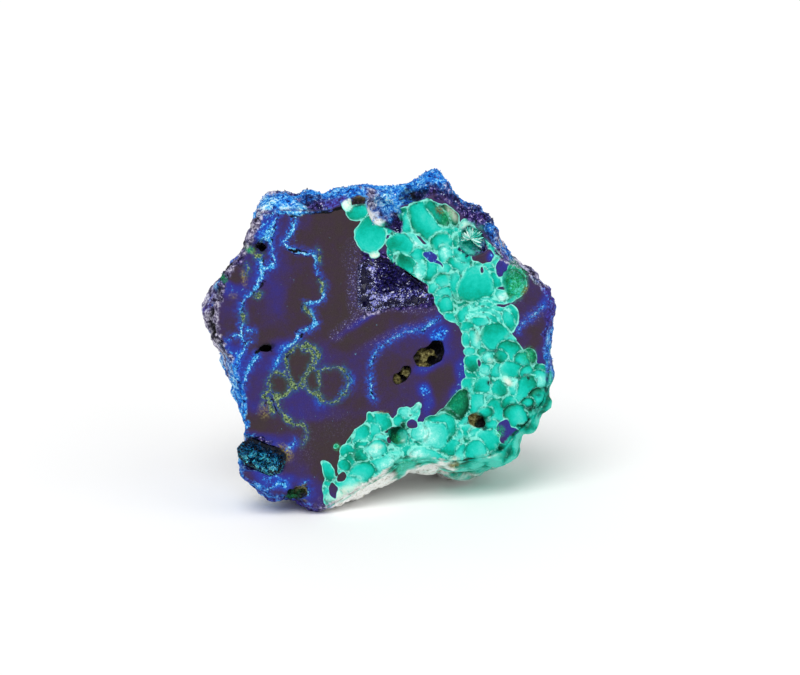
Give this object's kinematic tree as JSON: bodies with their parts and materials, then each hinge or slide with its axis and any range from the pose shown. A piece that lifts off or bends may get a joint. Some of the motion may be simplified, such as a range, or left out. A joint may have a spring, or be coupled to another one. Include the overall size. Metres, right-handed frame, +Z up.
{
  "type": "azurite malachite specimen",
  "caption": "Cut and polished azurite-malachite stone, flat in front and rough all round, that leans back a little on its natural base.",
  "frame": {"origin": "middle of the stone's overall box, on the surface it stands on", "axes": "+Z up, -Y out of the front where the sawn face is, +X to the right seen from the front; the sawn face leans back 8 degrees"},
  "size_m": [0.0722, 0.0324, 0.0665],
  "materials": {
    "azurite_malachite": "stone, polished on the sawn face and rough elsewhere: dark violet and blue azurite, blue-green malachite, some pale matrix",
    "azurite_crystals": "small glassy dark blue crystals",
    "teal_crystals": "small glassy blue-green crystals"
  },
  "bodies": {
    "root": {"specimen": "azurite_malachite", "vug_crystals": "azurite_crystals", "pocket_crystals": "teal_crystals"}
  },
  "joints": []
}
